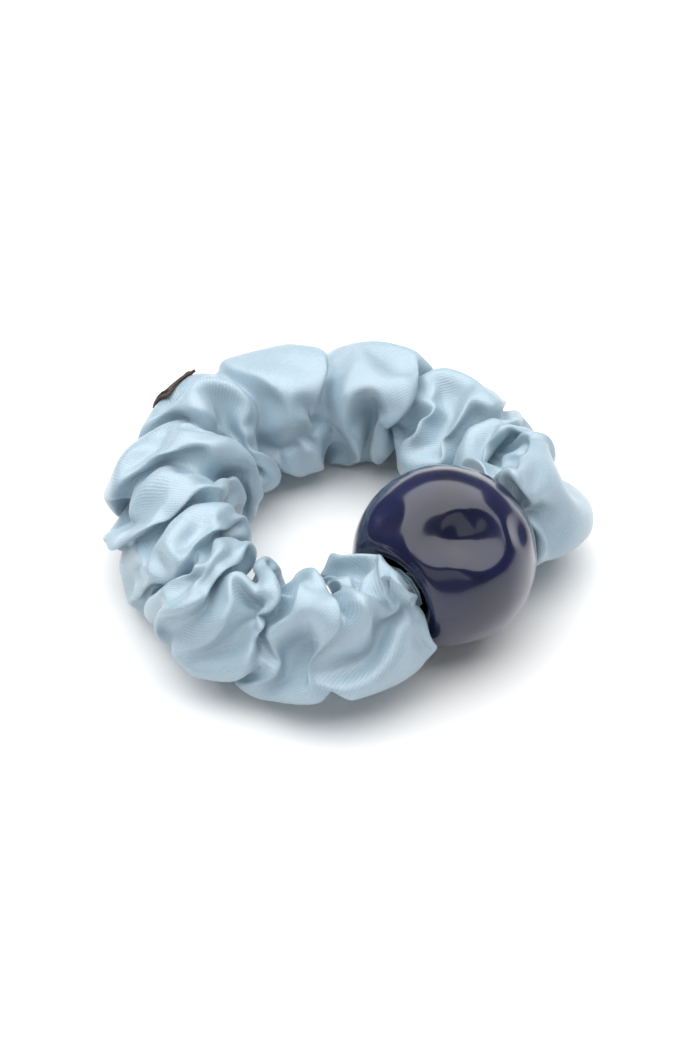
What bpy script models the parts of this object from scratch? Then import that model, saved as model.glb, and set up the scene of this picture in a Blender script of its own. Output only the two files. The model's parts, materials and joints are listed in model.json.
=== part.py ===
"""Scrunchie: a gathered satin tube on a flat elastic loop that runs through one large bead.

Metres, +Z up. z = 0 is the surface that it lies on, and the origin is under the middle of its box.
+Y points from the bead to the far side of the loop, which is the way it stretches, and the bead's
bore runs along X. A "run" is a distance along the loop from the middle of the bead: positive
towards +X, negative towards -X, and HALF_LOOP at the far side.
"""
import math

import bmesh
import bpy
from mathutils import Vector

MM = 0.001
TOUCH_GAP = 0.3 * MM  # kept between pieces that touch on the real object

# Bead
BEAD_RADIUS = 17.0 * MM
BORE_RADIUS = 5.0 * MM
MOUTH_RADIUS = 10.0 * MM
MOUTH_DEPTH = 6.5 * MM
BEAD_STEPS = 36
BEAD_ARC_STEPS = 14
MOUTH_STEPS = 4

# Each hand-formed dent: the way it faces from the bead's centre, its radius and its depth
DENTS = [
    ((-0.32, -0.57, 0.75), 9.5 * MM, 2.4 * MM),
    ((-0.54, 0.31, 0.78), 5.5 * MM, 1.1 * MM),
    ((0.46, -0.58, 0.67), 5.0 * MM, 1.0 * MM),
    ((0.25, 0.80, -0.55), 8.0 * MM, 1.6 * MM),
    ((-0.30, -0.60, -0.74), 7.5 * MM, 1.3 * MM),
]

# Loop, seen from above: straight in the bead, a tight bend at each mouth, and one long arc
LOOP_RADIUS = 32.0 * MM
BEND_RADIUS = 13.6 * MM
STRAIGHT_HALF = 15.5 * MM

# Satin cover
COVER_RADIUS = 12.8 * MM
COVER_HEIGHT = 12.3 * MM  # centre of the tube over the table, a little less than its radius
COVER_WALL = 1.0 * MM  # stands for the gathered layers of thin satin
COVER_SIDES_SETTING = 6  # gives 16 sides
NECK_RADIUS = 4.6 * MM
NECK_START = 11.5 * MM
SWELL_START = 15.5 * MM  # the cover grows from its neck to its full radius between these two
SWELL_END = 37.0 * MM
BEAD_CLEARANCE = 0.5 * MM
SHOULDER_SHIFT = 2.0 * MM  # how far the cover's swelling end leans out, round the bead
SHOULDER_END = 47.0 * MM
DROP_END = 40.0 * MM  # the loop comes down from the bore's height to the cover's by this run
PUFFS_PER_QUARTER = 4.5  # the half puts a dip at the split, so that the wall's inside stays clear
PUFF_HEIGHT = 0.5 * MM
RINGS_PER_PUFF = 4

# Flat elastic
BAND_THICKNESS = 1.4 * MM
BAND_WIDTH = 6.0 * MM
BAND_POINT_PITCH = 4.0 * MM
JOIN_START = -42.0 * MM  # run where the overlapped ends begin
JOIN_LENGTH = 12.0 * MM
JOIN_EASE = 10.0 * MM  # run over which an end moves sideways to lie beside the other

# Threads
THREAD_RADIUS = 0.25 * MM
THREAD_POINTS_PER_TURN = 12
END_THREAD_TURNS = 3
END_THREAD_START = 12.0 * MM
END_THREAD_PITCH = 0.6 * MM
JOIN_THREAD_TURNS = 4
SEAM_START = 30.0 * MM
SEAM_POINT_PITCH = 3.0 * MM
SEAM_ZIGZAG = 0.35 * MM
SEAM_DEPTH = 2.8 * MM  # from the inside of the cover to the middle of the thread

# Woven label, on the outer back of the cover
LABEL_LENGTH = 7.0 * MM  # as a run; it is longer by the loop's curve at the outside
LABEL_LOW_ANGLE = math.radians(28.0)
LABEL_HIGH_ANGLE = math.radians(54.0)
LABEL_THICKNESS = 0.8 * MM
LABEL_STANDOFF = 0.4 * MM
LABEL_STITCH_INSET = 1.2 * MM
LABEL_STITCH_COUNT = 8
LABEL_STITCH_ZIGZAG = 0.45 * MM

# Worked out from the dimensions above
BEAD_OFFSET = BEND_RADIUS + math.sqrt((LOOP_RADIUS - BEND_RADIUS) ** 2 - STRAIGHT_HALF ** 2)
BEND_END_ANGLE = math.atan2(BEND_RADIUS - BEAD_OFFSET, STRAIGHT_HALF)
BEND_RUN = BEND_RADIUS * (math.pi / 2 + BEND_END_ANGLE)
ARC_START = STRAIGHT_HALF + BEND_RUN
HALF_LOOP = ARC_START + LOOP_RADIUS * (math.pi / 2 - BEND_END_ANGLE)
SPLIT_RUN = ARC_START - LOOP_RADIUS * BEND_END_ANGLE  # the widest place, where the cover is split
PUFF_PITCH = LOOP_RADIUS * math.pi / 2 / PUFFS_PER_QUARTER
LOOP_Y = (BEAD_OFFSET + BEAD_RADIUS - LOOP_RADIUS - COVER_RADIUS - PUFF_HEIGHT) / 2
BEAD_CENTRE = Vector((0.0, LOOP_Y - BEAD_OFFSET, BEAD_RADIUS))

SATIN_BLUE = (0.36, 0.55, 0.66)
THREAD_BLUE = (0.30, 0.48, 0.60)
BEAD_NAVY = (0.018, 0.022, 0.085)
ELASTIC_WHITE = (0.80, 0.80, 0.78)
LABEL_BROWN = (0.055, 0.032, 0.024)


def smooth_step(value, low, high):
    t = min(max((value - low) / (high - low), 0.0), 1.0)
    return t * t * (3.0 - 2.0 * t)


def loop_frame(run):
    """Centreline point at a run, and the level direction that points out of the loop there."""
    run = (run + HALF_LOOP) % (2 * HALF_LOOP) - HALF_LOOP
    side = math.copysign(1.0, run)
    run = abs(run)
    if run <= STRAIGHT_HALF:
        angle = -math.pi / 2
        x = run
        y = -BEAD_OFFSET
    elif run <= ARC_START:
        angle = -math.pi / 2 + (run - STRAIGHT_HALF) / BEND_RADIUS
        x = STRAIGHT_HALF + BEND_RADIUS * math.cos(angle)
        y = BEND_RADIUS - BEAD_OFFSET + BEND_RADIUS * math.sin(angle)
    else:
        angle = BEND_END_ANGLE + (run - ARC_START) / LOOP_RADIUS
        x = LOOP_RADIUS * math.cos(angle)
        y = LOOP_RADIUS * math.sin(angle)
    drop = smooth_step(run, STRAIGHT_HALF, DROP_END)
    height = BEAD_RADIUS + (COVER_HEIGHT - BEAD_RADIUS) * drop
    return Vector((side * x, LOOP_Y + y, height)), Vector((side * math.cos(angle), math.sin(angle), 0.0))


def beside_loop(run, outward, upward):
    """Point beside the centreline, so far out of the loop and so far up."""
    centre, out_direction = loop_frame(run)
    return centre + out_direction * outward + Vector((0.0, 0.0, upward))


def cover_centre(run):
    """Middle of the cover at a run: on the centreline, but leaning out where it rounds the bead."""
    centre, out_direction = loop_frame(run)
    run = abs((run + HALF_LOOP) % (2 * HALF_LOOP) - HALF_LOOP)
    lean = smooth_step(run, SWELL_START, SWELL_END) - smooth_step(run, SWELL_END, SHOULDER_END)
    return centre + out_direction * SHOULDER_SHIFT * lean


def cover_radius(run):
    """Outer radius of the gathered cover at a run, with its row of puffs, clear of the bead."""
    from_far_side = HALF_LOOP - abs((run + HALF_LOOP) % (2 * HALF_LOOP) - HALF_LOOP)
    swell = smooth_step(HALF_LOOP - from_far_side, SWELL_START, SWELL_END)
    puff = PUFF_HEIGHT * math.cos(2 * math.pi * from_far_side / PUFF_PITCH)
    radius = NECK_RADIUS + (COVER_RADIUS - NECK_RADIUS + puff) * swell
    room = (cover_centre(run) - BEAD_CENTRE).length - BEAD_RADIUS - BEAD_CLEARANCE
    return max(min(radius, room), NECK_RADIUS)


def evenly(start, end, pitch):
    """Values from start to end, spaced as near to the pitch as comes out even."""
    count = max(round(abs(end - start) / pitch), 1)
    return [start + (end - start) * index / count for index in range(count + 1)]


def principled(name, colour, roughness, coat=0.0, sheen=0.0):
    material = bpy.data.materials.new(name)
    material.use_nodes = True
    shader = material.node_tree.nodes["Principled BSDF"]
    shader.inputs["Base Color"].default_value = (*colour, 1.0)
    shader.inputs["Roughness"].default_value = roughness
    shader.inputs["Metallic"].default_value = 0.0
    shader.inputs["Coat Weight"].default_value = coat
    shader.inputs["Sheen Weight"].default_value = sheen
    material.diffuse_color = (*colour, 1.0)
    return material


def add_object(name, data, collection, material):
    piece = bpy.data.objects.new(name, data)
    collection.objects.link(piece)
    if len(data.materials) == 0:
        data.materials.append(material)
    return piece


def curve_data(name, points, radii=None):
    """A POLY spline through the points, ready for a bevel."""
    curve = bpy.data.curves.new(name, "CURVE")
    curve.dimensions = "3D"
    curve.twist_mode = "Z_UP"
    spline = curve.splines.new("POLY")
    spline.points.add(len(points) - 1)
    for index, point in enumerate(points):
        spline.points[index].co = (*point, 1.0)
        if radii:
            spline.points[index].radius = radii[index]
    return curve


def mesh_from(piece, collection, material):
    """Turn a curve or a modified mesh into a plain mesh object with welded points."""
    name = piece.name
    evaluated = piece.evaluated_get(bpy.context.evaluated_depsgraph_get())
    mesh = bpy.data.meshes.new_from_object(evaluated)
    place = piece.matrix_world.copy()
    bpy.data.objects.remove(piece)
    body = bmesh.new()
    body.from_mesh(mesh)
    bmesh.ops.remove_doubles(body, verts=body.verts, dist=0.01 * MM)
    bmesh.ops.recalc_face_normals(body, faces=body.faces)
    body.to_mesh(mesh)
    body.free()
    result = add_object(name, mesh, collection, material)
    result.name = name
    result.matrix_world = place
    return result


def add_thread(name, points, collection, material):
    curve = curve_data(name, points)
    curve.bevel_depth = THREAD_RADIUS
    curve.bevel_resolution = 2
    curve.use_fill_caps = True
    return add_object(name, curve, collection, material)


# --- Bead ---

def bead_profile():
    """Closed half section of the bead, across its bore: x is the radius and z runs along the bore."""
    rim_angle = math.asin(MOUTH_RADIUS / BEAD_RADIUS)
    mouth_end = BEAD_RADIUS * math.cos(rim_angle)
    points = []
    for index in range(BEAD_ARC_STEPS + 1):
        angle = rim_angle + (math.pi - 2 * rim_angle) * index / BEAD_ARC_STEPS
        points.append((BEAD_RADIUS * math.sin(angle), BEAD_RADIUS * math.cos(angle)))
    flare = []
    for index in range(1, MOUTH_STEPS + 1):
        angle = math.pi / 2 * (1 - index / MOUTH_STEPS)
        radius = MOUTH_RADIUS - (MOUTH_RADIUS - BORE_RADIUS) * math.cos(angle)
        flare.append((radius, mouth_end - MOUTH_DEPTH * (1 - math.sin(angle))))
    points += [(radius, -along) for radius, along in flare]
    points += list(reversed(flare))
    return points


def press_dents(mesh):
    """Push the round outside in at each dent, and leave the bore and its mouths alone."""
    for vertex in mesh.vertices:
        if vertex.co.length < 0.985 * BEAD_RADIUS:
            continue
        inward = 0.0
        for facing, radius, depth in DENTS:
            distance = (vertex.co - Vector(facing).normalized() * BEAD_RADIUS).length
            if distance < radius:
                inward += depth * (1 - (distance / radius) ** 2) ** 2
        vertex.co -= vertex.co.normalized() * inward


def add_bead(collection):
    material = principled("bead_gloss", BEAD_NAVY, 0.08, coat=1.0)
    points = bead_profile()
    mesh = bpy.data.meshes.new("bead")
    edges = [(index, (index + 1) % len(points)) for index in range(len(points))]
    mesh.from_pydata([(radius, 0.0, along) for radius, along in points], edges, [])
    profile = add_object("bead", mesh, collection, material)
    screw = profile.modifiers.new("turned", "SCREW")
    screw.steps = BEAD_STEPS
    screw.render_steps = BEAD_STEPS
    screw.use_merge_vertices = True
    screw.merge_threshold = 0.01 * MM
    profile.rotation_euler = (0.0, math.pi / 2, 0.0)
    bpy.context.view_layer.update()
    turned = mesh_from(profile, collection, material)
    turned.data.transform(turned.matrix_world)
    turned.rotation_euler = (0.0, 0.0, 0.0)
    turned.location = BEAD_CENTRE
    press_dents(turned.data)
    turned.data.shade_smooth()
    turned.data.set_sharp_from_angle(angle=math.radians(50.0))


# --- Satin cover ---

def square_ends(mesh, ends):
    """Bring the tube's two open edges into the planes square to the loop at its end runs."""
    tube = bmesh.new()
    tube.from_mesh(mesh)
    edge_points = {vertex for edge in tube.edges if edge.is_boundary for vertex in edge.verts}
    for run in ends:
        centre, out_direction = loop_frame(run)
        along = Vector((0.0, 0.0, 1.0)).cross(out_direction)
        for vertex in edge_points:
            if (vertex.co - centre).length < 1.3 * cover_radius(run):
                vertex.co -= along * (vertex.co - centre).dot(along)
    tube.to_mesh(mesh)
    tube.free()


def add_cover_part(name, start, end, collection, material):
    """A stretch of the gathered tube as an open shell, flattened where it lies on the table."""
    runs = evenly(start, end, PUFF_PITCH / RINGS_PER_PUFF)
    points = [cover_centre(run) for run in runs]
    curve = curve_data(name, points, [cover_radius(run) / COVER_RADIUS for run in runs])
    curve.bevel_depth = COVER_RADIUS
    curve.bevel_resolution = COVER_SIDES_SETTING
    sides = 4 + 2 * COVER_SIDES_SETTING
    for point in curve.splines[0].points:
        point.tilt = math.pi / sides
    tube = mesh_from(add_object(name, curve, collection, material), collection, material)
    square_ends(tube.data, (start, end))
    for vertex in tube.data.vertices:
        vertex.co.z = max(vertex.co.z, 0.0)
    wall = tube.modifiers.new("wall", "SOLIDIFY")
    wall.thickness = COVER_WALL
    wall.offset = -1.0
    wall.use_rim = True
    tube.data.shade_smooth()
    tube.data.set_sharp_from_angle(angle=math.radians(60.0))


def add_cover(collection):
    satin = principled("satin", SATIN_BLUE, 0.38, sheen=0.3)
    half_gap = TOUCH_GAP / 2
    far_end = 2 * HALF_LOOP - SPLIT_RUN
    add_cover_part("satin_cover_right", NECK_START, SPLIT_RUN - half_gap, collection, satin)
    add_cover_part("satin_cover_back", SPLIT_RUN + half_gap, far_end - half_gap, collection, satin.copy())
    add_cover_part("satin_cover_left", -SPLIT_RUN + half_gap, -NECK_START, collection, satin.copy())


# --- Elastic ---

def band_offset(run):
    """How far out of the centreline the elastic lies: its two ends pass side by side at the join."""
    aside = (BAND_THICKNESS + TOUCH_GAP) / 2
    first_end = JOIN_START + JOIN_LENGTH
    last_end = JOIN_START + 2 * HALF_LOOP
    inner = 1.0 - smooth_step(run, first_end, first_end + JOIN_EASE)
    outer = smooth_step(run, last_end - JOIN_EASE, last_end)
    return aside * (outer - inner)


def add_elastic(collection):
    material = principled("braided_elastic", ELASTIC_WHITE, 0.75)
    runs = evenly(JOIN_START, JOIN_START + 2 * HALF_LOOP + JOIN_LENGTH, BAND_POINT_PITCH)
    points = [beside_loop(run, band_offset(run), 0.0) for run in runs]
    curve = curve_data("elastic_band", points)
    curve.bevel_depth = BAND_THICKNESS / 2
    curve.bevel_resolution = 1
    curve.extrude = BAND_WIDTH / 2 - BAND_THICKNESS / 2
    curve.use_fill_caps = True
    add_object("elastic_band", curve, collection, material)


def add_join_thread(collection):
    """Whip stitches round both ends of the elastic, as a flattened helix."""
    half_width = BAND_WIDTH / 2 + TOUCH_GAP + 1.8 * THREAD_RADIUS
    half_depth = BAND_THICKNESS + TOUCH_GAP / 2 + TOUCH_GAP + 1.8 * THREAD_RADIUS
    count = JOIN_THREAD_TURNS * THREAD_POINTS_PER_TURN
    margin = JOIN_LENGTH / 6
    points = []
    for index in range(count + 1):
        angle = 2 * math.pi * index / THREAD_POINTS_PER_TURN
        run = JOIN_START + margin + (JOIN_LENGTH - 2 * margin) * index / count
        across = math.cos(angle)
        up = math.sin(angle)
        square = (across ** 4 + up ** 4) ** -0.25
        points.append(beside_loop(run, half_depth * across * square, half_width * up * square))
    add_thread("elastic_join_thread", points, collection, principled("join_thread", ELASTIC_WHITE, 0.6))


# --- Sewing threads of the cover ---

def add_seam_thread(collection):
    """The lengthwise seam, inside the cover on the side that faces the middle of the loop."""
    runs = evenly(SEAM_START, 2 * HALF_LOOP - SEAM_START, SEAM_POINT_PITCH)
    points = []
    for index, run in enumerate(runs):
        depth = cover_radius(run) - COVER_WALL - SEAM_DEPTH
        sway = Vector((0.0, 0.0, SEAM_ZIGZAG * (-1) ** index))
        points.append(cover_centre(run) - loop_frame(run)[1] * depth + sway)
    add_thread("seam_thread", points, collection, principled("seam_thread", THREAD_BLUE, 0.6))


def add_end_thread(name, side, collection):
    """Turns of thread that cinch the cover's end into a neck, inside the bead's mouth."""
    count = END_THREAD_TURNS * THREAD_POINTS_PER_TURN
    radius = NECK_RADIUS + TOUCH_GAP + THREAD_RADIUS
    points = []
    for index in range(count + 1):
        angle = 2 * math.pi * index / THREAD_POINTS_PER_TURN
        along = END_THREAD_START + END_THREAD_PITCH * index / THREAD_POINTS_PER_TURN
        points.append(beside_loop(side * along, radius * math.cos(angle), radius * math.sin(angle)))
    add_thread(name, points, collection, principled(name, THREAD_BLUE, 0.6))


# --- Label ---

def on_cover(run, angle, radius):
    """Point round the tube: angle 0 faces out of the loop and a quarter turn faces up."""
    return beside_loop(run, radius * math.cos(angle), radius * math.sin(angle))


def add_label(collection):
    material = principled("woven_label", LABEL_BROWN, 0.7)
    radius = COVER_RADIUS + PUFF_HEIGHT + LABEL_STANDOFF
    runs = evenly(HALF_LOOP - LABEL_LENGTH / 2, HALF_LOOP + LABEL_LENGTH / 2, LABEL_LENGTH / 6)
    angles = evenly(LABEL_LOW_ANGLE, LABEL_HIGH_ANGLE, (LABEL_HIGH_ANGLE - LABEL_LOW_ANGLE) / 4)
    cloth = bmesh.new()
    rows = [[cloth.verts.new(on_cover(run, angle, radius)) for angle in angles] for run in runs]
    for row, next_row in zip(rows, rows[1:]):
        for index in range(len(angles) - 1):
            cloth.faces.new((row[index], next_row[index], next_row[index + 1], row[index + 1]))
    bmesh.ops.recalc_face_normals(cloth, faces=cloth.faces)
    mesh = bpy.data.meshes.new("woven_label")
    cloth.to_mesh(mesh)
    cloth.free()
    if mesh.polygons[0].normal.y < 0:
        mesh.flip_normals()
    label = add_object("woven_label", mesh, collection, material)
    fold = label.modifiers.new("two_layers", "SOLIDIFY")
    fold.thickness = LABEL_THICKNESS
    fold.offset = 1.0
    fold.use_rim = True


def add_label_stitch(name, side, collection):
    """A short zigzag of thread over one end of the label."""
    radius = COVER_RADIUS + PUFF_HEIGHT + LABEL_STANDOFF + LABEL_THICKNESS + TOUCH_GAP + THREAD_RADIUS
    run = HALF_LOOP + side * (LABEL_LENGTH / 2 - LABEL_STITCH_INSET)
    points = []
    for index in range(LABEL_STITCH_COUNT + 1):
        share = 0.1 + 0.8 * index / LABEL_STITCH_COUNT
        angle = LABEL_LOW_ANGLE + (LABEL_HIGH_ANGLE - LABEL_LOW_ANGLE) * share
        points.append(on_cover(run + LABEL_STITCH_ZIGZAG * (-1) ** index, angle, radius))
    add_thread(name, points, collection, principled(name, LABEL_BROWN, 0.6))


def main():
    for existing in list(bpy.data.objects):
        bpy.data.objects.remove(existing)
    scrunchie = bpy.data.collections.new("scrunchie")
    bpy.context.scene.collection.children.link(scrunchie)
    add_bead(scrunchie)
    add_cover(scrunchie)
    add_elastic(scrunchie)
    add_join_thread(scrunchie)
    add_seam_thread(scrunchie)
    add_end_thread("left_end_thread", -1, scrunchie)
    add_end_thread("right_end_thread", 1, scrunchie)
    add_label(scrunchie)
    add_label_stitch("label_stitch_right", -1, scrunchie)
    add_label_stitch("label_stitch_left", 1, scrunchie)


main()
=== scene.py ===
"""Looks of the scrunchie: a cloth-simulated satin cover, a hand-dented glossy bead, and what they hold.

Metres, in the CAD model's frame. A "run" is a distance along the loop from the middle of the bead,
positive towards +X, as in part.py. Angles round the loop are seen from above, from +X.
"""
import json
import math
import random

import bmesh
import bpy
import numpy as np
from mathutils import Matrix, Vector, noise
from mathutils.bvhtree import BVHTree


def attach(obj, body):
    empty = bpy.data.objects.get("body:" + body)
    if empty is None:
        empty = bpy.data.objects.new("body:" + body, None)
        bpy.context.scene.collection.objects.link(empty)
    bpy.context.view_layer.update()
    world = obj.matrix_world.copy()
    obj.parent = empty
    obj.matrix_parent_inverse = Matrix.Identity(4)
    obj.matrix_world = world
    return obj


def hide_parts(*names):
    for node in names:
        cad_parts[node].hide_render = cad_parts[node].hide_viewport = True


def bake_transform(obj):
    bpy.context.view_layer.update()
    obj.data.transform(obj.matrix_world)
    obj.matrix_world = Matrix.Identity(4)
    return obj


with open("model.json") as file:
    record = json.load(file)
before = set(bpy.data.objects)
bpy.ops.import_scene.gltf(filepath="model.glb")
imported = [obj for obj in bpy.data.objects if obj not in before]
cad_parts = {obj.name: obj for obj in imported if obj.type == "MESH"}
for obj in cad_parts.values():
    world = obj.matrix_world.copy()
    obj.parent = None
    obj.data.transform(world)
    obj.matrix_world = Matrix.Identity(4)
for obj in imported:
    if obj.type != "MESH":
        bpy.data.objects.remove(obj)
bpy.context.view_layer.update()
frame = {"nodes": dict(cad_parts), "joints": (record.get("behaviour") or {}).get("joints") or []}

MM = 0.001

# --- The loop, as in the CAD model ---
LOOP_RADIUS = 32.0 * MM
BEND_RADIUS = 13.6 * MM
STRAIGHT_HALF = 15.5 * MM
COVER_RADIUS = 12.8 * MM
CAD_COVER_HEIGHT = 12.3 * MM  # centre of the tube over the table, for the hidden pieces
DROP_END = 40.0 * MM
BORE_RADIUS = 5.0 * MM
MOUTH_RADIUS = 10.0 * MM
MOUTH_DEPTH = 6.5 * MM

BEAD_CENTRE = Vector(next(joint["pos_m"] for joint in frame["joints"] if joint["name"] == "bead_spin"))
BEAD_RADIUS = BEAD_CENTRE.z
BEAD_OFFSET = BEND_RADIUS + math.sqrt((LOOP_RADIUS - BEND_RADIUS) ** 2 - STRAIGHT_HALF ** 2)
BEND_END_ANGLE = math.atan2(BEND_RADIUS - BEAD_OFFSET, STRAIGHT_HALF)
ARC_START = STRAIGHT_HALF + BEND_RADIUS * (math.pi / 2 + BEND_END_ANGLE)
HALF_LOOP = ARC_START + LOOP_RADIUS * (math.pi / 2 - BEND_END_ANGLE)
LOOP_Y = BEAD_CENTRE.y + BEAD_OFFSET
UP = Vector((0.0, 0.0, 1.0))


def smooth_step(value, low, high):
    """An even rise from 0 to 1 as a value goes from low to high."""
    t = min(max((value - low) / (high - low), 0.0), 1.0)
    return t * t * (3.0 - 2.0 * t)


def loop_frame(run, cover_height):
    """Centreline point at a run, and the level direction that points out of the loop there."""
    run = (run + HALF_LOOP) % (2 * HALF_LOOP) - HALF_LOOP
    side = math.copysign(1.0, run)
    run = abs(run)
    if run <= STRAIGHT_HALF:
        angle = -math.pi / 2
        x = run
        y = -BEAD_OFFSET
    elif run <= ARC_START:
        angle = -math.pi / 2 + (run - STRAIGHT_HALF) / BEND_RADIUS
        x = STRAIGHT_HALF + BEND_RADIUS * math.cos(angle)
        y = BEND_RADIUS - BEAD_OFFSET + BEND_RADIUS * math.sin(angle)
    else:
        angle = BEND_END_ANGLE + (run - ARC_START) / LOOP_RADIUS
        x = LOOP_RADIUS * math.cos(angle)
        y = LOOP_RADIUS * math.sin(angle)
    height = BEAD_RADIUS + (cover_height - BEAD_RADIUS) * smooth_step(run, STRAIGHT_HALF, DROP_END)
    return Vector((side * x, LOOP_Y + y, height)), Vector((side * math.cos(angle), math.sin(angle), 0.0))


def run_at(degrees):
    """Run of the place on the loop at an angle seen from above, on the arc or its continuation."""
    return ARC_START + LOOP_RADIUS * (math.radians(degrees) - BEND_END_ANGLE)


def add_mesh(name, verts, faces, smooth=True):
    mesh = bpy.data.meshes.new(name)
    mesh.from_pydata([tuple(v) for v in verts], [], faces)
    mesh.update()
    if smooth:
        mesh.shade_smooth()
    piece = bpy.data.objects.new(name, mesh)
    bpy.context.scene.collection.objects.link(piece)
    return piece


def ring_faces(rings, sides, closed=False):
    """Quads between rings of points round the loop, each ring closed on itself, facing out of the tube."""
    faces = []
    for ring in range(rings if closed else rings - 1):
        here = ring * sides
        there = (ring + 1) % rings * sides
        for side in range(sides):
            beside = (side + 1) % sides
            faces.append((there + side, there + beside, here + beside, here + side))
    return faces


def square(half):
    """Corners of a level square at the table's height."""
    return [(-half, -half, 0), (half, -half, 0), (half, half, 0), (-half, half, 0)]


def evaluated_mesh(piece):
    """A copy of a piece's mesh with its modifiers applied."""
    return bpy.data.meshes.new_from_object(piece.evaluated_get(bpy.context.evaluated_depsgraph_get()))


def outward_faces(mesh, merge=0.0):
    """Turn all faces outwards, after merging points that are closer than `merge`."""
    body = bmesh.new()
    body.from_mesh(mesh)
    if merge:
        bmesh.ops.remove_doubles(body, verts=body.verts, dist=merge)
    bmesh.ops.recalc_face_normals(body, faces=body.faces)
    body.to_mesh(mesh)
    body.free()


# --- Satin cover: pleats laid out one by one, then let go as cloth ---

# Each pleat: where its crest is (degrees round the loop), how deep it is on top (mm), how far its
# crest leans along the loop (mm) and which way round the tube it leans most (0 is out of the loop,
# 90 is up), then which way round the tube its pocket faces and how deep the pocket is (mm)
PLEATS = [
    (-42, 6.5, 0.5, 90, 115, 5.5),
    (-17, 5.0, -2.0, 120, 75, 3.0),
    (8, 5.5, -2.5, 90, 110, 5.5),
    (42, 5.0, -3.0, 90, 170, 6.0),
    (70, 5.0, -1.0, 60, 90, 0.0),
    (94, 4.5, 3.0, 30, 140, 3.5),
    (115, 4.5, 4.5, 20, 50, 0.0),
    (134, 4.5, 5.0, 30, 60, 3.5),
    (152, 4.5, 5.0, 50, 90, 0.0),
    (170, 5.0, 4.5, 70, 30, 2.5),
    (189, 5.5, 3.5, 90, 60, 5.5),
    (207, 6.0, 2.0, 90, 30, 6.0),
    (230, 6.5, 0.5, 90, 75, 5.0),
]
CLOTH_WIDTH = 84.0 * MM  # round the tube, laid flat and sewn
CREST_RADIUS = 12.9 * MM
VALLEY_LEAST = 4.4 * MM  # the folds stop at the elastic
FOLD_LEAST = 2.5 * MM
NECK_RADIUS = 4.6 * MM
NECK_START = 12.0 * MM
NECK_CLOTH = 2.0 * MM
WALL_SHARE = 0.12  # share of a pleat's run that each of its two walls takes
LEAN_CLOTH = 0.4  # cloth that a lean takes, over the lean
MOUTH_LAP = 3.8 * MM  # how far the end puffs swell back over the bead's mouths
POCKET_WIDTH = math.radians(45.0)
END_TAPER = 0.20  # how much slimmer the puffs beside the bead are
END_FOLDS = 4  # folds round each of them, from the cloth that the taper leaves
END_FOLD_DEPTH = 3.0 * MM
UNEVENNESS = 0.14  # share of the radius by which the start shape wanders
GATHER_LIMIT = 1.3 * MM  # the most that gathers move the cloth along the loop
GATHER_COUNTS = (3, 4)  # gathers round the tube at a valley
COVER_HEIGHT = 12.8 * MM  # centre of the simulated tube over the table
RINGS = 200
SIDES = 56
CLOTH_STIFFNESS = 60.0
CLOTH_BENDING = 75.0
CLOTH_PRESSURE = 1.5
SMOOTH_SHARE = 0.5
SMOOTH_PASSES = 6
SIM_SCALE = 10.0  # cloth settles better when it is simulated larger than life
SIM_FRAMES = 45
SIM_CONTACT = 0.4 * MM  # how near the cloth comes to what it rests against
SIM_SELF_CONTACT = 0.5 * MM
CORE_RADIUS = 3.9 * MM  # the elastic and what is round it, as the cloth meets them
BEAD_CLEARANCE = 0.6 * MM
TABLE_HALF = 0.2
VALLEY_HOLD = 0.3  # how firmly the gathered valleys are held, where the necks take 1
CLOTH_THICKNESS = 0.22 * MM


def turned(run):
    """How far the loop has turned, in radians, between the bead's middle and a run."""
    if run > HALF_LOOP:
        return 2 * math.pi - turned(2 * HALF_LOOP - run)
    bend = min(max(run - STRAIGHT_HALF, 0.0), ARC_START - STRAIGHT_HALF) / BEND_RADIUS
    return bend + max(run - ARC_START, 0.0) / LOOP_RADIUS


def pleat_layout():
    """Each pleat's valleys, crest runs, walls and cloth length, from the right mouth to the left."""
    start = NECK_START + NECK_CLOTH
    end = 2 * HALF_LOOP - NECK_START - NECK_CLOTH
    angles = [pleat[0] for pleat in PLEATS]
    valleys = [start] + [run_at((a + b) / 2) for a, b in zip(angles, angles[1:])] + [end]
    neck_wall = CREST_RADIUS - NECK_RADIUS
    layout = []
    for index, (pleat, low, high) in enumerate(zip(PLEATS, valleys, valleys[1:])):
        first, last = index == 0, index == len(PLEATS) - 1
        rise = -MOUTH_LAP if first else WALL_SHARE * (high - low)
        fall = -MOUTH_LAP if last else WALL_SHARE * (high - low)
        fold = pleat[1] * MM
        walls = (neck_wall if first else fold, neck_wall if last else fold)
        length = sum(walls) + high - fall - low - rise + LEAN_CLOTH * abs(pleat[2]) * MM
        layout.append((low, high, low + rise, high - fall, walls, length))
    return layout


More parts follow.
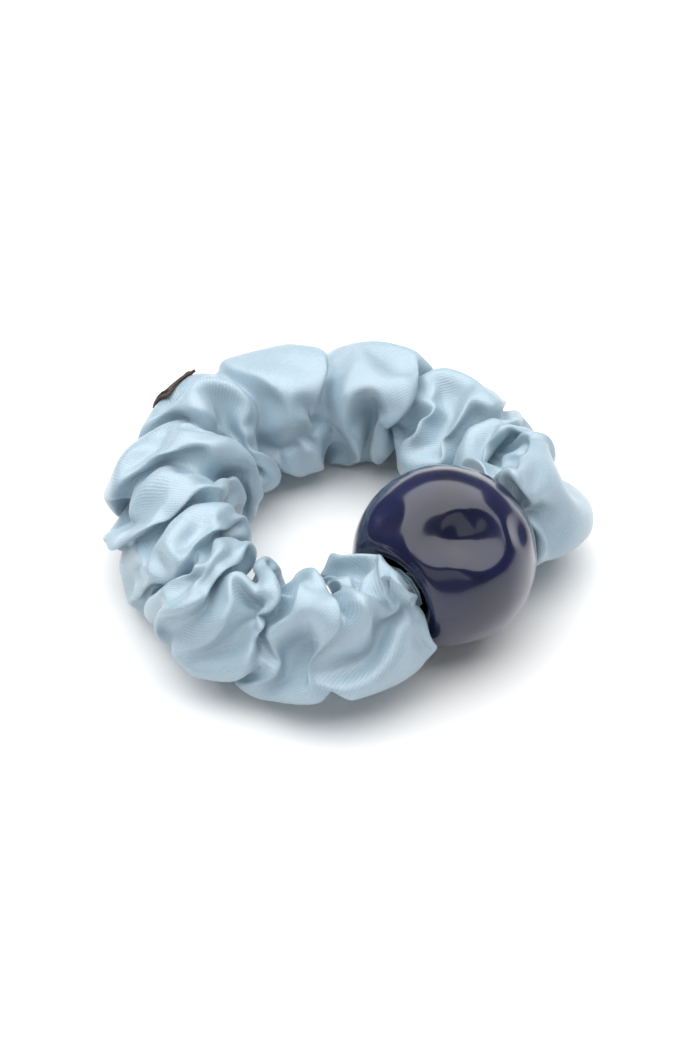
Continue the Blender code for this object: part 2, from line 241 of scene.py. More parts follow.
def pleat_place(along, angle, layout):
    """Run, radius, height up the pleat, pleat and share of its crest, before the cloth is let go."""
    if along <= NECK_CLOTH:
        return NECK_START + along, NECK_RADIUS, 0.0, 0, 0.0
    along -= NECK_CLOTH
    last = len(layout) - 1
    index = 0
    while index < last and along > layout[index][5]:
        along -= layout[index][5]
        index += 1
    low, high, crest_low, crest_high, (first_wall, second_wall), length = layout[index]
    if along > length:
        return min(high + along - length, 2 * HALF_LOOP - NECK_START), NECK_RADIUS, 0.0, last, 0.0
    # The outside of a bend needs more cloth along the crest, which leaves less for the folds
    wider = CREST_RADIUS * math.cos(angle) * (turned(crest_high) - turned(crest_low))
    folds = (index > 0) + (index < last)
    most = CREST_RADIUS - VALLEY_LEAST
    if index > 0:
        first_wall = min(max(first_wall - wider / folds, FOLD_LEAST), most)
    if index < last:
        second_wall = min(max(second_wall - wider / folds, FOLD_LEAST), most)
    if along < first_wall:
        height = math.sin(along / first_wall * math.pi / 2)
        run = low + (crest_low - low) * along / first_wall
        return run, CREST_RADIUS - first_wall * (1 - height), height, index, 0.0
    if along > length - second_wall:
        share = (length - along) / second_wall
        height = math.sin(share * math.pi / 2)
        run = high + (crest_high - high) * share
        return run, CREST_RADIUS - second_wall * (1 - height), height, index, 0.0
    share = (along - first_wall) / (length - first_wall - second_wall)
    radius = CREST_RADIUS + MM * math.sin(math.pi * share)
    return crest_low + (crest_high - crest_low) * share, radius, 1.0, index, share


def lean_at(run, angle, crests):
    """How far the crests lean along the loop here; it changes evenly from pleat to pleat."""
    across = [pleat[2] * MM * math.cos(math.radians(pleat[3])) for pleat in PLEATS]
    upward = [pleat[2] * MM * math.sin(math.radians(pleat[3])) for pleat in PLEATS]
    level = [0.3 * pleat[2] * MM for pleat in PLEATS]
    leans = [float(np.interp(run, crests, values)) for values in (across, upward, level)]
    out_lean, up_lean, all_round = leans
    return all_round + out_lean * math.cos(angle) + up_lean * math.sin(angle)


def cover_points():
    """The pleated tube at the start of the simulation, the same cloth laid straight, and its length."""
    draw = random.Random(3)
    layout = pleat_layout()
    valleys = [pleat[0] for pleat in layout] + [layout[-1][1]]
    crests = [(low + high) / 2 for low, high in zip(valleys, valleys[1:])]
    gathers = [draw.choice(GATHER_COUNTS) for _ in valleys]
    turns = [draw.uniform(0.0, 2 * math.pi) for _ in valleys]
    lengths = [pleat[5] for pleat in layout]
    total = sum(lengths) + 2 * NECK_CLOTH
    flat_radius = CLOTH_WIDTH / (2 * math.pi)
    ends_of_pleats = [NECK_CLOTH + sum(lengths[:index]) for index in range(1, len(lengths))]
    valley_rings = {round(RINGS * place / total) for place in ends_of_pleats}
    pleated = []
    straight = []
    for ring in range(RINGS + 1):
        along = total * ring / RINGS
        for side in range(SIDES):
            angle = 2 * math.pi * side / SIDES
            run, radius, height, index, share = pleat_place(along, angle, layout)
            nearest = min(range(len(valleys)), key=lambda k: abs(run - valleys[k]))
            opening = smooth_step(min(run - NECK_START, 2 * HALF_LOOP - NECK_START - run), 0.5 * MM, 2.5 * MM)
            spare = max((flat_radius / radius) ** 2 - 1, 0.0)
            gather = min(math.sqrt(2 * spare) * radius / gathers[nearest], GATHER_LIMIT)
            shift = height * lean_at(run, angle, crests) * opening
            shift += gather * math.sin(gathers[nearest] * angle + turns[nearest]) * opening
            bumps = noise.noise(Vector((run * 110, 1.3 * math.cos(angle), 1.3 * math.sin(angle))))
            place = radius * (1 + UNEVENNESS * bumps * opening)
            beside_bead = height * (1 - smooth_step(min(run, 2 * HALF_LOOP - run), 20 * MM, 33 * MM))
            place *= 1 - END_TAPER * beside_bead
            place += END_FOLD_DEPTH * beside_bead * math.cos(END_FOLDS * angle + turns[0])
            pocket_facing, pocket_depth = PLEATS[index][4:]
            from_pocket = math.remainder(angle - math.radians(pocket_facing), 2 * math.pi) / POCKET_WIDTH
            place -= pocket_depth * MM * math.exp(-from_pocket ** 2) * math.sin(math.pi * share) ** 2
            centre, out = loop_frame(run + shift, COVER_HEIGHT)
            point = centre + out * place * math.cos(angle) + UP * place * math.sin(angle)
            from_bead = point - BEAD_CENTRE
            if place > MOUTH_RADIUS and from_bead.length < BEAD_RADIUS + BEAD_CLEARANCE:
                point = BEAD_CENTRE + from_bead.normalized() * (BEAD_RADIUS + BEAD_CLEARANCE)
            point.z = max(point.z, 0.4 * MM)
            pleated.append(point)
            straight.append(Vector((flat_radius * math.cos(angle), along, flat_radius * math.sin(angle))))
    return pleated, straight, total, valley_rings


def add_collider(name, mesh, gap):
    mesh.transform(Matrix.Scale(SIM_SCALE, 4))
    collider = bpy.data.objects.new(name, mesh)
    bpy.context.scene.collection.objects.link(collider)
    collider.modifiers.new("collide", "COLLISION")
    collider.collision.thickness_outer = gap * SIM_SCALE
    collider.collision.thickness_inner = 2 * MM * SIM_SCALE
    collider.collision.cloth_friction = 5.0
    return collider


def tube_mesh(points_and_outs, radius, sides, closed):
    verts = []
    for centre, out in points_and_outs:
        for side in range(sides):
            angle = 2 * math.pi * side / sides
            verts.append(centre + out * radius * math.cos(angle) + UP * radius * math.sin(angle))
    mesh = bpy.data.meshes.new("tube")
    mesh.from_pydata([tuple(v) for v in verts], [], ring_faces(len(points_and_outs), sides, closed))
    return mesh


def simulate_cover():
    """Let the pleated tube settle round the elastic, against the bead and the table."""
    pleated, straight, total, valley_rings = cover_points()
    cloth = add_mesh("satin_cover", [v * SIM_SCALE for v in pleated], ring_faces(RINGS + 1, SIDES))
    cloth.shape_key_add(name="Basis")
    rest = cloth.shape_key_add(name="straight")
    for index, place in enumerate(straight):
        rest.data[index].co = place * SIM_SCALE
    rest.value = 0.0
    held = cloth.vertex_groups.new(name="held")
    for ring in valley_rings:
        held.add([ring * SIDES + side for side in range(SIDES)], VALLEY_HOLD, "REPLACE")
    for ring in (0, 1, RINGS - 1, RINGS):
        held.add([ring * SIDES + side for side in range(SIDES)], 1.0, "REPLACE")

    steps = 120
    core_path = [loop_frame(2 * HALF_LOOP * step / steps, COVER_HEIGHT) for step in range(steps)]
    colliders = [
        add_collider("core", tube_mesh(core_path, CORE_RADIUS, 10, True), 0.3 * MM),
        add_collider("bead_block", bead_mesh(48, 24, dented=False), 0.4 * MM),
    ]
    table = bpy.data.meshes.new("table")
    table.from_pydata(square(TABLE_HALF), [], [(0, 1, 2, 3)])
    colliders.append(add_collider("table", table, 0.3 * MM))

    modifier = cloth.modifiers.new("cloth", "CLOTH")
    settings = modifier.settings
    settings.quality = 6
    settings.mass = 0.3
    settings.air_damping = 3.0
    settings.tension_stiffness = CLOTH_STIFFNESS
    settings.compression_stiffness = CLOTH_STIFFNESS
    settings.shear_stiffness = 10.0
    settings.bending_stiffness = CLOTH_BENDING
    settings.tension_damping = 10.0
    settings.compression_damping = 10.0
    settings.shear_damping = 10.0
    settings.bending_damping = 1.0
    settings.bending_model = "ANGULAR"
    settings.vertex_group_mass = "held"
    settings.pin_stiffness = 1.0
    settings.rest_shape_key = rest
    settings.use_pressure = True
    settings.uniform_pressure_force = CLOTH_PRESSURE
    settings.effector_weights.gravity = 0.35
    contact = modifier.collision_settings
    contact.collision_quality = 3
    contact.distance_min = SIM_CONTACT * SIM_SCALE
    contact.use_self_collision = True
    contact.self_distance_min = SIM_SELF_CONTACT * SIM_SCALE
    contact.self_friction = 5.0
    frames = SIM_FRAMES
    modifier.point_cache.frame_start = 1
    modifier.point_cache.frame_end = frames + 1
    scene = bpy.context.scene
    scene.frame_start = 1
    scene.frame_end = frames
    for step in range(1, frames + 1):
        scene.frame_set(step)
    settled = evaluated_mesh(cloth)
    settled.transform(Matrix.Scale(1 / SIM_SCALE, 4))
    bpy.data.objects.remove(cloth)
    for collider in colliders:
        bpy.data.objects.remove(collider)
    return settled, total


def add_cover():
    mesh, total = simulate_cover()
    mesh.name = "satin_cover"
    tidy_folds(mesh)
    weave = mesh.uv_layers.new(name="weave")
    for polygon in mesh.polygons:
        ring, side = divmod(polygon.index, SIDES)
        for corner, (step_ring, step_side) in enumerate(((1, 0), (1, 1), (0, 1), (0, 0))):
            weave.data[polygon.loop_indices[corner]].uv = (
                (side + step_side) / SIDES * CLOTH_WIDTH * 10,
                (ring + step_ring) / RINGS * total * 10,
            )
    cover = bpy.data.objects.new("satin_cover", mesh)
    bpy.context.scene.collection.objects.link(cover)
    finer = cover.modifiers.new("finer", "SUBSURF")
    finer.levels = 1
    finer.render_levels = 1
    thin = cover.modifiers.new("thin", "SOLIDIFY")
    thin.thickness = CLOTH_THICKNESS
    thin.offset = -1.0
    final = evaluated_mesh(cover)
    cover.modifiers.clear()
    cover.data = final
    final.shade_smooth()
    final.materials.clear()
    final.materials.append(satin_material())
    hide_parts("satin_cover_left", "satin_cover_back", "satin_cover_right")
    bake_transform(cover)
    label_pieces = add_label(cover)


def tidy_folds(mesh):
    """Even out wrinkles as small as the mesh, then keep the folds crisp through one subdivision."""
    count = len(mesh.vertices)
    places = np.empty(count * 3)
    mesh.vertices.foreach_get("co", places)
    places = places.reshape(-1, SIDES, 3)
    for _ in range(SMOOTH_PASSES):
        for share in (SMOOTH_SHARE, -1.04 * SMOOTH_SHARE):  # in and back out, so only wrinkles go
            edges, corners = ring_neighbours(places)
            places[1:-1] += (edges / 4 - places[1:-1]) * share
    wanted = places.copy()
    for _ in range(4):
        edges, corners = ring_neighbours(places)
        subdivided = (16 * places[1:-1] + 4 * edges + corners) / 36  # where the surface ends up
        places[1:-1] += wanted[1:-1] - subdivided
    mesh.vertices.foreach_set("co", places.reshape(-1))
    mesh.update()


def ring_neighbours(places):
    """Sums of each inner point's four edge neighbours and of its four corner neighbours."""
    left = np.roll(places, 1, axis=1)
    right = np.roll(places, -1, axis=1)
    edges = left[1:-1] + right[1:-1] + places[2:] + places[:-2]
    corners = left[2:] + left[:-2] + right[2:] + right[:-2]
    return edges, corners


# --- Bead ---

# Each hand-formed dent: the way it faces from the bead's centre, its radius and its depth
DENTS = [
    ((-0.44, -0.35, 0.83), 7.0 * MM, 1.7 * MM),
    ((-0.18, -0.61, 0.80), 7.5 * MM, 2.5 * MM),
    ((-0.56, 0.36, 0.74), 5.5 * MM, 0.9 * MM),
    ((0.37, -0.72, 0.58), 4.5 * MM, 0.7 * MM),
    ((0.25, 0.80, -0.55), 8.0 * MM, 1.6 * MM),
    ((-0.30, -0.60, -0.74), 7.5 * MM, 1.3 * MM),
]


LIP_REACH = 2.5 * MM
LIP_PASSES = 24
BEAD_SIDES = 160
BEAD_ARC_STEPS = 84
OUTSIDE_SHARE = 0.985  # of the bead's radius; points further out are on its round outside
WAVE_DEPTH = 0.12 * MM  # the hand-formed surface's unevenness


def bead_section(arc_steps):
    """Closed half section of the bead: (place along the bore, radius), from the right mouth's rim."""
    rim_angle = math.asin(MOUTH_RADIUS / BEAD_RADIUS)
    mouth_end = BEAD_RADIUS * math.cos(rim_angle)
    mouth_steps = max(arc_steps // 4, 4)
    points = []
    for index in range(arc_steps + 1):
        angle = rim_angle + (math.pi - 2 * rim_angle) * index / arc_steps
        points.append((BEAD_RADIUS * math.cos(angle), BEAD_RADIUS * math.sin(angle)))
    flare = []
    for index in range(1, mouth_steps + 1):
        angle = math.pi / 2 * (1 - index / mouth_steps)
        radius = MOUTH_RADIUS - (MOUTH_RADIUS - BORE_RADIUS) * math.cos(angle)
        flare.append((mouth_end - MOUTH_DEPTH * (1 - math.sin(angle)), radius))
    points += [(-along, radius) for along, radius in flare]
    points += list(reversed(flare))
    return rounded_lips(points, mouth_end)


def rounded_lips(points, mouth_end):
    """The section with the corner at each mouth's rim worn round."""
    count = len(points)
    for _ in range(LIP_PASSES):
        before = list(points)
        for index, (along, radius) in enumerate(before):
            from_rim = math.hypot(abs(along) - mouth_end, radius - MOUTH_RADIUS)
            if from_rim > LIP_REACH:
                continue
            last = before[index - 1]
            following = before[(index + 1) % count]
            share = 0.5 * (1 - from_rim / LIP_REACH)
            middle = ((last[0] + following[0]) / 2, (last[1] + following[1]) / 2)
            points[index] = (along + (middle[0] - along) * share, radius + (middle[1] - radius) * share)
    return points


def bead_mesh(sides, arc_steps, dented):
    section = bead_section(arc_steps)
    verts = []
    for side in range(sides):
        angle = 2 * math.pi * side / sides
        for along, radius in section:
            place = Vector((along, radius * math.cos(angle), radius * math.sin(angle)))
            if dented and place.length > OUTSIDE_SHARE * BEAD_RADIUS:
                place -= place.normalized() * press_at(place)
            verts.append(BEAD_CENTRE + place)
    mesh = bpy.data.meshes.new("bead_form")
    mesh.from_pydata([tuple(v) for v in verts], [], ring_faces(sides, len(section), closed=True))
    outward_faces(mesh)
    return mesh


def press_at(place):
    """How far the bead's round outside is pushed in at a place on it."""
    inward = 0.0
    for facing, radius, depth in DENTS:
        distance = (place - Vector(facing).normalized() * BEAD_RADIUS).length
        if distance < radius:
            inward += depth * (1 - (distance / radius) ** 2) ** 2
    waves = noise.noise(place * 95.0) + 0.5 * noise.noise(place * 210.0 + UP)
    return inward + WAVE_DEPTH * (1 + waves)


def add_bead():
    mesh = bead_mesh(BEAD_SIDES, BEAD_ARC_STEPS, dented=True)
    mesh.name = "bead_glossy"
    bead = bpy.data.objects.new("bead_glossy", mesh)
    bpy.context.scene.collection.objects.link(bead)
    mesh.shade_smooth()
    mesh.materials.append(bead_material())
    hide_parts("bead")
    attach(bead, "bead")


# --- Elastic and threads ---

BAND_THICKNESS = 1.4 * MM
BAND_WIDTH = 6.0 * MM
TOUCH_GAP = 0.3 * MM
JOIN_START = -42.0 * MM
JOIN_LENGTH = 12.0 * MM
JOIN_EASE = 10.0 * MM
THREAD_RADIUS = 0.25 * MM
JOIN_TURNS = 7
JOIN_TURN_STEPS = 20
SEAM_START = 20.0 * MM
SEAM_STEPS = 150
SEAM_INWARD = 3.1 * MM  # from the centreline towards the middle of the loop
SEAM_SWAY = 0.35 * MM
BAND_STEPS = 220
BAND_CORDS = 7  # the braid's raised cords across one face
CORD_HEIGHT = 0.22 * MM


def band_offset(run):
    """How far out of the centreline the elastic lies: its two ends pass side by side at the join."""
    aside = (BAND_THICKNESS + TOUCH_GAP) / 2
    first_end = JOIN_START + JOIN_LENGTH
    last_end = JOIN_START + 2 * HALF_LOOP
    inner = 1.0 - smooth_step(run, first_end, first_end + JOIN_EASE)
    outer = smooth_step(run, last_end - JOIN_EASE, last_end)
    return aside * (outer - inner)


def band_section():
    """Outline of the braided elastic: flat, with raised cords along both faces."""
    steps = BAND_CORDS * 4
    half = BAND_WIDTH / 2 - BAND_THICKNESS / 4
    face = []
    for step in range(steps + 1):
        up = -half + 2 * half * step / steps
        cord = 0.5 - 0.5 * math.cos(2 * math.pi * BAND_CORDS * step / steps)
        face.append((BAND_THICKNESS / 2 - CORD_HEIGHT * (1 - cord), up))
    return face + [(-out, up) for out, up in reversed(face)]


def add_elastic():
    section = band_section()
    start = JOIN_START
    end = JOIN_START + 2 * HALF_LOOP + JOIN_LENGTH
    verts = []
    for step in range(BAND_STEPS + 1):
        run = start + (end - start) * step / BAND_STEPS
        centre, out = loop_frame(run, CAD_COVER_HEIGHT)
        for outward, upward in section:
            verts.append(centre + out * (band_offset(run) + outward) + UP * upward)
    faces = ring_faces(BAND_STEPS + 1, len(section))
    faces.append(tuple(range(len(section))))
    faces.append(tuple(reversed(range(BAND_STEPS * len(section), (BAND_STEPS + 1) * len(section)))))
    band = add_mesh("elastic_braid", verts, faces)
    outward_faces(band.data)
    band.data.materials.append(elastic_material())
    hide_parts("elastic_band")
    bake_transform(band)


def add_thread(name, points, radius, material):
    """A round thread through the points, as a mesh with closed ends."""
    curve = bpy.data.curves.new(name, "CURVE")
    curve.dimensions = "3D"
    curve.bevel_depth = radius
    curve.bevel_resolution = 2
    curve.use_fill_caps = True
    spline = curve.splines.new("POLY")
    spline.points.add(len(points) - 1)
    for index, point in enumerate(points):
        spline.points[index].co = (*point, 1.0)
    guide = bpy.data.objects.new(name, curve)
    bpy.context.scene.collection.objects.link(guide)
    mesh = evaluated_mesh(guide)
    bpy.data.objects.remove(guide)
    outward_faces(mesh, merge=0.005 * MM)
    mesh.shade_smooth()
    mesh.materials.clear()
    mesh.materials.append(material)
    thread = bpy.data.objects.new(name, mesh)
    bpy.context.scene.collection.objects.link(thread)
    return thread


def add_seam():
    """The lengthwise seam, inside the cover on the side that faces the middle of the loop."""
    end = 2 * HALF_LOOP - SEAM_START
    points = []
    for step in range(SEAM_STEPS + 1):
        run = SEAM_START + (end - SEAM_START) * step / SEAM_STEPS
        centre, out = loop_frame(run, CAD_COVER_HEIGHT)
        points.append(centre - out * SEAM_INWARD + UP * SEAM_SWAY * (-1) ** step)
    seam = add_thread("seam_stitches", points, 0.18 * MM, thread_material("seam_thread_look", THREAD_BLUE))
    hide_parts("seam_thread")
    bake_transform(seam)


def add_join_thread():
    """Whip stitches round both ends of the elastic, as a flattened helix."""
    half_width = BAND_WIDTH / 2 + TOUCH_GAP + 1.8 * THREAD_RADIUS
    half_depth = BAND_THICKNESS + TOUCH_GAP / 2 + TOUCH_GAP + 1.8 * THREAD_RADIUS
    steps = JOIN_TURNS * JOIN_TURN_STEPS
    margin = JOIN_LENGTH / 6
    points = []
    for index in range(steps + 1):
        angle = 2 * math.pi * index / JOIN_TURN_STEPS
        run = JOIN_START + margin + (JOIN_LENGTH - 2 * margin) * index / steps
        across = math.cos(angle)
        up = math.sin(angle)
        boxed = (across ** 4 + up ** 4) ** -0.25
        centre, out = loop_frame(run, CAD_COVER_HEIGHT)
        points.append(centre + out * half_depth * across * boxed + UP * half_width * up * boxed)
    thread = add_thread("join_stitches", points, 0.2 * MM, thread_material("join_thread_look", ELASTIC_WHITE))
    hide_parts("elastic_join_thread")
    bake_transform(thread)


# --- Label ---

LABEL_LENGTH = 6.5 * MM
LABEL_FACING = 92.5  # degrees round the loop, on the crest that carries it
LABEL_LOW_ANGLE = math.radians(15.0)
LABEL_HIGH_ANGLE = math.radians(41.0)
LABEL_THICKNESS = 0.6 * MM
LABEL_STEPS = 16
LABEL_EVENING = 14  # passes that even out the cloth's small creases under it
LABEL_STITCHES = 9
LABEL_THREAD_RADIUS = 0.12 * MM
LABEL_LIFT = 0.15 * MM
LABEL_STITCH_LIFT = 0.25 * MM


def cloth_radius(tree, run, angle):
    """How far from the loop's centreline the outside of the cover is, at a run and an angle."""
    centre, out = loop_frame(run, CAD_COVER_HEIGHT)
    direction = out * math.cos(angle) + UP * math.sin(angle)
    hit = tree.ray_cast(centre + direction * 2 * COVER_RADIUS, -direction, 2 * COVER_RADIUS)[0]
    return COVER_RADIUS if hit is None else (hit - centre).length


def label_radii(tree):
    """Heights of the label over the centreline: it lies on the cloth and bridges its small creases."""
    radii = np.empty((LABEL_STEPS + 1, LABEL_STEPS + 1))
    for row in range(LABEL_STEPS + 1):
        for column in range(LABEL_STEPS + 1):
            run = run_at(LABEL_FACING) + LABEL_LENGTH * (row / LABEL_STEPS - 0.5)
            angle = LABEL_LOW_ANGLE + (LABEL_HIGH_ANGLE - LABEL_LOW_ANGLE) * column / LABEL_STEPS
            radii[row, column] = cloth_radius(tree, run, angle)
    even = radii
    for _ in range(LABEL_EVENING):
        wide = np.pad(even, 1, mode="edge")
        even = (wide[:-2, 1:-1] + wide[2:, 1:-1] + wide[1:-1, :-2] + wide[1:-1, 2:]) / 4
    return even + max(float((radii - even).max()), 0.0)


def label_point(radii, row_share, column_share, lift):
    """A point on the label, given as shares of its length and width."""
    row = min(max(row_share, 0.0), 1.0) * LABEL_STEPS
    column = min(max(column_share, 0.0), 1.0) * LABEL_STEPS
    radius = radii[round(row), round(column)] + lift
    angle = LABEL_LOW_ANGLE + (LABEL_HIGH_ANGLE - LABEL_LOW_ANGLE) * column_share
    centre, out = loop_frame(run_at(LABEL_FACING) + LABEL_LENGTH * (row_share - 0.5), CAD_COVER_HEIGHT)
    return centre + out * radius * math.cos(angle) + UP * radius * math.sin(angle)


def add_label(cover):
    """A blank folded ribbon sewn over the outer back of the cover, and the thread along its ends."""
    mesh = cover.data
    tree = BVHTree.FromPolygons([v.co for v in mesh.vertices], [p.vertices for p in mesh.polygons])
    radii = label_radii(tree)
    side = LABEL_STEPS + 1
    verts = [label_point(radii, row / LABEL_STEPS, column / LABEL_STEPS, LABEL_LIFT)
             for row in range(side) for column in range(side)]
    faces = []
    for row in range(LABEL_STEPS):
        for column in range(LABEL_STEPS):
            corner = row * side + column
            faces.append((corner, corner + 1, corner + side + 1, corner + side))
    ribbon = add_mesh("label_ribbon", verts, faces)
    if ribbon.data.polygons[0].normal.y < 0:
        ribbon.data.flip_normals()
    fold = ribbon.modifiers.new("two_layers", "SOLIDIFY")
    fold.thickness = LABEL_THICKNESS
    fold.offset = 1.0
    rounded = ribbon.modifiers.new("soft_edge", "BEVEL")
    rounded.width = 0.15 * MM
    rounded.segments = 2
    final = evaluated_mesh(ribbon)
    ribbon.modifiers.clear()
    ribbon.data = final
    final.materials.clear()
    final.materials.append(label_material())
    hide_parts("woven_label")
    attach(ribbon, "far_side")
    stitches = [add_label_stitch(radii, name, share) for name, share in (("right", 0.14), ("left", 0.86))]
    return [ribbon] + stitches


def add_label_stitch(radii, name, share):
    """A zigzag of thread over one end of the label."""
    points = []
    for index in range(2 * LABEL_STITCHES + 1):
        sway = 0.05 * (-1) ** index
        points.append(label_point(radii, share + sway, 0.08 + 0.84 * index / (2 * LABEL_STITCHES),
                                  LABEL_THICKNESS + LABEL_STITCH_LIFT))
    material = thread_material(f"label_thread_{name}", LABEL_BROWN)
    stitch = add_thread(f"label_zigzag_{name}", points, LABEL_THREAD_RADIUS, material)
    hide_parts(f"label_stitch_{name}")
    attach(stitch, "far_side")
    return stitch


# --- Materials ---

ELASTIC_WHITE = (0.78, 0.78, 0.76)
THREAD_BLUE = (0.33, 0.50, 0.62)
LABEL_BROWN = (0.055, 0.032, 0.024)


def new_material(name, roughness, specular=0.5):
    material = bpy.data.materials.new(name)
    material.use_nodes = True
    shader = material.node_tree.nodes["Principled BSDF"]
    shader.inputs["Roughness"].default_value = roughness
    shader.inputs["Specular IOR Level"].default_value = specular
    return material, material.node_tree.nodes, material.node_tree.links, shader


def ramp(nodes, links, factor, stops):
    node = nodes.new("ShaderNodeValToRGB")
    elements = node.color_ramp.elements
    while len(elements) < len(stops):
        elements.new(0.5)
    for element, (position, colour) in zip(elements, stops):
        element.position = position
        element.color = (*colour, 1.0)
    links.new(factor, node.inputs["Fac"])
    return node.outputs["Color"]


def bump(nodes, links, height, strength, distance, normal=None):
    node = nodes.new("ShaderNodeBump")
    node.inputs["Strength"].default_value = strength
    node.inputs["Distance"].default_value = distance
    links.new(height, node.inputs["Height"])
    if normal is not None:
        links.new(normal, node.inputs["Normal"])
    return node.outputs["Normal"]


def wave(nodes, links, vector, scale, direction, distortion=0.0):
    node = nodes.new("ShaderNodeTexWave")
    node.wave_type = "BANDS"
    node.bands_direction = direction
    node.wave_profile = "SIN"
    node.inputs["Scale"].default_value = scale
    node.inputs["Distortion"].default_value = distortion
    node.inputs["Detail"].default_value = 1.0
    links.new(vector, node.inputs["Vector"])
    return node.outputs["Fac"]


def noise_texture(nodes, links, vector, scale, detail=2.0):
    node = nodes.new("ShaderNodeTexNoise")
    node.inputs["Scale"].default_value = scale
    node.inputs["Detail"].default_value = detail
    links.new(vector, node.inputs["Vector"])
    return node.outputs["Fac"]


def mapped(nodes, links, vector, scale=(1, 1, 1), turn=(0, 0, 0)):
    node = nodes.new("ShaderNodeMapping")
    node.inputs["Scale"].default_value = scale
    node.inputs["Rotation"].default_value = turn
    links.new(vector, node.inputs["Vector"])
    return node.outputs["Vector"]


def mix_colours(nodes, links, factor, first, second, mode="MIX"):
    node = nodes.new("ShaderNodeMix")
    node.data_type = "RGBA"
    node.blend_type = mode
    node.inputs["Factor"].default_value = factor
    links.new(first, node.inputs["A"])
    links.new(second, node.inputs["B"])
    return node.outputs["Result"]


def satin_material():
    """Pale blue satin: fine diagonal weave lines, crosswise threads and a soft sheen."""
    material, nodes, links, shader = new_material("satin_look", 0.30, specular=1.0)
    flat = nodes.new("ShaderNodeUVMap")
    flat.uv_map = "weave"
    uv = flat.outputs["UV"]
    diagonal = mapped(nodes, links, uv, turn=(0, 0, math.radians(52)))
    twill = wave(nodes, links, diagonal, 62.0, "X", distortion=0.6)
    threads = noise_texture(nodes, links, mapped(nodes, links, uv, scale=(900, 90, 1)), 1.0)
    clouds = noise_texture(nodes, links, uv, 14.0, detail=3.0)
    base = ramp(nodes, links, clouds, [(0.3, (0.385, 0.515, 0.590)), (0.7, (0.425, 0.555, 0.630))])
    grain = ramp(nodes, links, threads, [(0.3, (0.80, 0.83, 0.86)), (0.7, (1.0, 1.0, 1.0))])
    lines = ramp(nodes, links, twill, [(0.0, (0.86, 0.89, 0.92)), (1.0, (1.0, 1.0, 1.0))])
    woven = mix_colours(nodes, links, 1.0, base, grain, "MULTIPLY")
    woven = mix_colours(nodes, links, 1.0, woven, lines, "MULTIPLY")
    links.new(woven, shader.inputs["Base Color"])
    normal = bump(nodes, links, threads, 0.30, 0.0002)
    normal = bump(nodes, links, twill, 0.30, 0.0001, normal)
    links.new(normal, shader.inputs["Normal"])
    shader.inputs["Sheen Weight"].default_value = 0.3
    shader.inputs["Sheen Roughness"].default_value = 0.35
    shader.inputs["Sheen Tint"].default_value = (1.0, 1.0, 1.0, 1.0)
    return material


def bead_material():
    """Deep navy, mottled under a clear gloss."""
    material, nodes, links, shader = new_material("bead_look", 0.25, specular=0.2)
    place = nodes.new("ShaderNodeTexCoord").outputs["Object"]
    cloud = noise_texture(nodes, links, place, 70.0, detail=3.0)
    colour = ramp(nodes, links, cloud, [(0.35, (0.005, 0.007, 0.026)), (0.62, (0.012, 0.016, 0.062))])
    links.new(colour, shader.inputs["Base Color"])
    fine = noise_texture(nodes, links, place, 260.0)
    links.new(bump(nodes, links, fine, 0.03, 0.0003), shader.inputs["Normal"])
    shader.inputs["Coat Weight"].default_value = 1.0
    shader.inputs["Coat Roughness"].default_value = 0.12
    shader.inputs["Coat IOR"].default_value = 1.46
    return material


def elastic_material():
    """White braid: short slanted stitches along raised cords."""
    material, nodes, links, shader = new_material("elastic_look", 0.7)
    place = nodes.new("ShaderNodeTexCoord").outputs["Object"]
    stitches = wave(nodes, links, place, 420.0, "DIAGONAL", distortion=1.0)
    colour = ramp(nodes, links, stitches, [(0.0, (0.60, 0.60, 0.58)), (1.0, ELASTIC_WHITE)])
    links.new(colour, shader.inputs["Base Color"])
    links.new(bump(nodes, links, stitches, 0.5, 0.0002), shader.inputs["Normal"])
    return material


def thread_material(name, colour):
    """Twisted sewing thread."""
    material, nodes, links, shader = new_material(name, 0.6)
    place = nodes.new("ShaderNodeTexCoord").outputs["Object"]
    plies = wave(nodes, links, place, 900.0, "DIAGONAL", distortion=0.5)
    dark = tuple(0.72 * value for value in colour)
    links.new(ramp(nodes, links, plies, [(0.0, dark), (1.0, colour)]), shader.inputs["Base Color"])
    links.new(bump(nodes, links, plies, 0.4, 0.0001), shader.inputs["Normal"])
    return material


def label_material():
    """Blank woven ribbon in dark brown."""
    material, nodes, links, shader = new_material("label_look", 0.65)
    place = nodes.new("ShaderNodeTexCoord").outputs["Object"]
    weft = wave(nodes, links, place, 700.0, "Z")
    warp = wave(nodes, links, place, 500.0, "X")
    rib = mix_colours(nodes, links, 0.5, weft, warp)
    dark = tuple(0.7 * value for value in LABEL_BROWN)
    light = tuple(1.5 * value for value in LABEL_BROWN)
    links.new(ramp(nodes, links, rib, [(0.2, dark), (0.8, light)]), shader.inputs["Base Color"])
    links.new(bump(nodes, links, rib, 0.5, 0.0002), shader.inputs["Normal"])
    return material


def floor_material():
    material, nodes, links, shader = new_material("floor_look", 0.9, specular=0.1)
    place = nodes.new("ShaderNodeTexCoord").outputs["Object"]
    paper = noise_texture(nodes, links, place, 40.0)
    colour = ramp(nodes, links, paper, [(0.0, (0.93, 0.93, 0.93)), (1.0, (0.95, 0.95, 0.95))])
    links.new(colour, shader.inputs["Base Color"])
    return material


# --- Stage ---

CAMERA_AZIMUTH = math.radians(-47.0)
CAMERA_ELEVATION = math.radians(43.0)
CAMERA_DISTANCE = 0.65
TARGET = Vector((0.0, LOOP_Y, 0.010))
FLOOR_HALF = 3


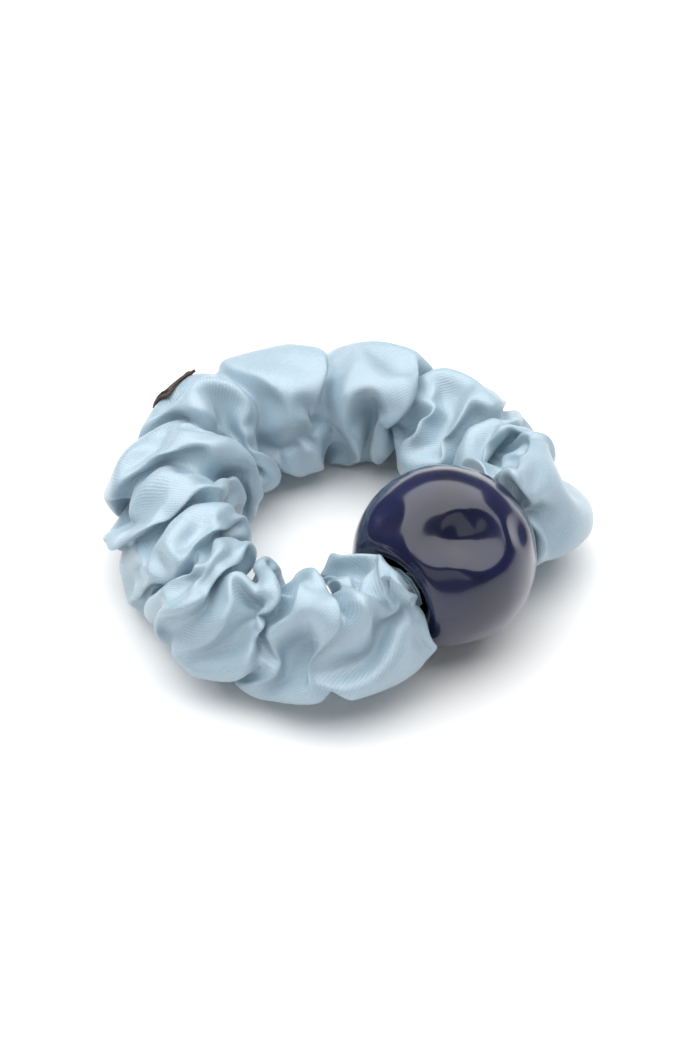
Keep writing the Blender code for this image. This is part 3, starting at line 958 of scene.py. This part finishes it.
def aim(thing):
    """Point a camera or a light at the middle of the piece."""
    thing.rotation_euler = (thing.location - TARGET).to_track_quat("Z", "Y").to_euler()


def add_stage():
    scene = bpy.context.scene
    floor = add_mesh("floor", square(FLOOR_HALF), [(0, 1, 2, 3)], smooth=False)
    floor.data.materials.append(floor_material())

    back = Vector((
        math.sin(CAMERA_AZIMUTH) * math.cos(CAMERA_ELEVATION),
        -math.cos(CAMERA_AZIMUTH) * math.cos(CAMERA_ELEVATION),
        math.sin(CAMERA_ELEVATION),
    ))
    lens = bpy.data.cameras.new("camera")
    lens.sensor_width = 36.0
    lens.lens = 119.2
    lens.clip_start = 0.01
    camera = bpy.data.objects.new("camera", lens)
    scene.collection.objects.link(camera)
    camera.location = TARGET + back * CAMERA_DISTANCE
    aim(camera)
    scene.camera = camera

    away = Vector((-back.x, -back.y, 0.0)).normalized()
    side = away.cross(UP)
    add_softbox("overhead", TARGET + UP * 0.62 + away * 0.16 - side * 0.04, (1.5, 1.25), 15.0)
    add_softbox("front_panel", TARGET + UP * 0.50 - away * 0.90, (1.2, 0.6), 1.8)

    world = bpy.data.worlds.new("studio")
    scene.world = world
    world.use_nodes = True
    background = world.node_tree.nodes["Background"]
    background.inputs["Color"].default_value = (1.0, 1.0, 1.0, 1.0)
    background.inputs["Strength"].default_value = 0.10
    scene.view_settings.view_transform = "Standard"


def add_softbox(name, place, size, power):
    """A rectangular soft light over the piece: its size in metres and its power in watts."""
    lamp = bpy.data.lights.new(name, "AREA")
    lamp.shape = "RECTANGLE"
    lamp.size, lamp.size_y = size
    lamp.energy = power
    light = bpy.data.objects.new(name, lamp)
    bpy.context.scene.collection.objects.link(light)
    light.location = place
    aim(light)


def dress_cad_nodes():
    """Materials for the CAD pieces that show as they are."""
    looks = {
        "left_end_thread": thread_material("left_end_look", THREAD_BLUE),
        "right_end_thread": thread_material("right_end_look", THREAD_BLUE),
    }
    for name, material in looks.items():
        node = frame["nodes"][name]
        node.data.materials.clear()
        node.data.materials.append(material)


add_stage()
add_bead()
add_elastic()
add_seam()
add_join_thread()
add_cover()
dress_cad_nodes()
